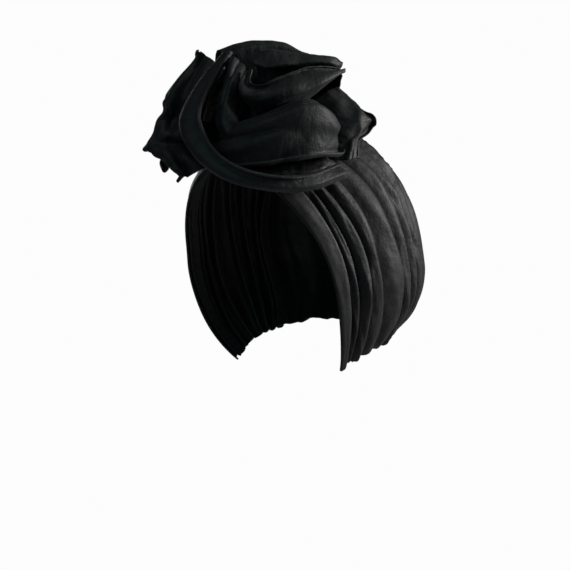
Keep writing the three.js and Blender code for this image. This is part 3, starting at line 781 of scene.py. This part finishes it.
petal_cloth("back_upper_fold", "petal_back_upper", [
    ((-34, 22, -18), (-56, 46, -22), (-74, 56, -30)),
    ((-28, 24, -28), (-46, 50, -44), (-62, 56, -58)),
    ((-14, 24, -34), (-24, 50, -56), (-34, 54, -76)),
    ((8, 24, -36), (10, 48, -60), (10, 50, -84)),
    ((30, 22, -32), (42, 46, -54), (50, 46, -72)),
    ((40, 18, -24), (62, 40, -38), (78, 42, -46)),
], creases=(4, 3.0), ruffle=(3, 3.0), seed=27.7)
petal_cloth("back_lower_fold", "petal_back_lower", [
    ((-46, -22, 4), (-76, -20, 4), (-96, -36, 2)),
    ((-46, -10, -14), (-76, 6, -22), (-96, -16, -34)),
    ((-38, 0, -30), (-66, 20, -48), (-80, 0, -68)),
    ((-20, 6, -40), (-36, 30, -68), (-44, 8, -94)),
    ((4, 8, -42), (6, 32, -74), (6, 8, -102)),
    ((28, 4, -36), (44, 28, -64), (52, 4, -92)),
    ((44, -2, -24), (72, 20, -42), (92, 0, -58)),
], creases=(4, 3.0), ruffle=(3, 2.5), seed=31.4)


# Studio. A pale sweep of paper, a soft light from the right, weaker ones from the left, above and
# behind, and the camera at the place that the photograph was taken from.

VIEW_TURN = math.radians(38)
VIEW_RISE = math.radians(6)
VIEW_REACH = 1.6
VIEW_ANGLE = math.radians(15.8)
ROOM_LIGHT = 0.05
PAPER_TONE, PAPER_ROUGHNESS = (0.30, 0.30, 0.31, 1), 0.9
PAPER_SEEN = (0.98, 0.98, 0.98, 1)
PAPER_SIDES, PAPER_RADIUS = 96, 4.0
PAPER_WALL, PAPER_DROP = 5.0, 0.42
view_target = Vector((-7.4, -5.8, -48.3)) * MM
view_right = Vector((math.cos(VIEW_TURN), math.sin(VIEW_TURN), 0))
view_back = Vector((
    math.sin(VIEW_TURN) * math.cos(VIEW_RISE),
    -math.cos(VIEW_TURN) * math.cos(VIEW_RISE),
    math.sin(VIEW_RISE),
))
view_up = view_back.cross(view_right)

camera_data = bpy.data.cameras.new("camera")
camera_data.angle = VIEW_ANGLE
camera = bpy.data.objects.new("camera", camera_data)
bpy.context.scene.collection.objects.link(camera)
camera.location = view_target + view_back * VIEW_REACH
camera.rotation_euler = (-view_back).to_track_quat("-Z", "Y").to_euler()
bpy.context.scene.camera = camera


def soft_light(name, right, up, near, size, power, color):
    """A round soft light aimed at the origin, placed in metres as the camera sees it."""
    data = bpy.data.lights.new(name, "AREA")
    data.shape = "DISK"
    data.size = size
    data.energy = power
    data.color = color
    lamp = bpy.data.objects.new(name, data)
    bpy.context.scene.collection.objects.link(lamp)
    lamp.location = view_right * right + view_up * up + view_back * near
    lamp.rotation_euler = (-lamp.location).to_track_quat("-Z", "Y").to_euler()


soft_light("key", 1.5, 0.40, 0.15, 0.5, 25, (1.0, 0.98, 0.96))
soft_light("fill", -0.9, 0.6, 1.3, 0.9, 2.4, (0.55, 0.93, 1.0))
soft_light("top", 0.3, 1.4, 0.7, 0.7, 2.5, (0.95, 0.98, 1.0))
soft_light("back", -0.7, 0.5, -1.4, 0.9, 6.0, (0.92, 0.97, 1.0))

world = bpy.data.worlds.new("room")
bpy.context.scene.world = world
world.use_nodes = True
room = world.node_tree.nodes["Background"]
room.inputs["Color"].default_value = (1, 1, 1, 1)
room.inputs["Strength"].default_value = ROOM_LIGHT
bpy.context.scene.view_settings.view_transform = "Standard"

paper = bpy.data.materials.new("pale paper")
paper.use_nodes = True
paper_nodes, paper_links = paper.node_tree.nodes, paper.node_tree.links
paper_shader = paper_nodes["Principled BSDF"]
paper_shader.inputs["Base Color"].default_value = PAPER_TONE
paper_shader.inputs["Roughness"].default_value = PAPER_ROUGHNESS
seen = paper_nodes.new("ShaderNodeEmission")
seen.inputs["Color"].default_value = PAPER_SEEN
path = paper_nodes.new("ShaderNodeLightPath")
blend = paper_nodes.new("ShaderNodeMixShader")
paper_links.new(path.outputs["Is Camera Ray"], blend.inputs["Fac"])
paper_links.new(paper_shader.outputs["BSDF"], blend.inputs[1])
paper_links.new(seen.outputs["Emission"], blend.inputs[2])
paper_links.new(blend.outputs["Shader"], paper_nodes["Material Output"].inputs["Surface"])
bm = bmesh.new()
bmesh.ops.create_circle(bm, cap_ends=True, segments=PAPER_SIDES, radius=PAPER_RADIUS)
grown = bmesh.ops.extrude_edge_only(bm, edges=bm.edges[:])
wall_verts = [item for item in grown["geom"] if isinstance(item, bmesh.types.BMVert)]
bmesh.ops.translate(bm, verts=wall_verts, vec=(0, 0, PAPER_WALL))
bmesh.ops.translate(bm, verts=bm.verts, vec=(0, 0, -PAPER_DROP))
bmesh.ops.recalc_face_normals(bm, faces=bm.faces)
mesh = bpy.data.meshes.new("paper_sweep")
bm.to_mesh(mesh)
bm.free()
sweep = bpy.data.objects.new("paper_sweep", mesh)
bpy.context.scene.collection.objects.link(sweep)
mesh.materials.append(paper)
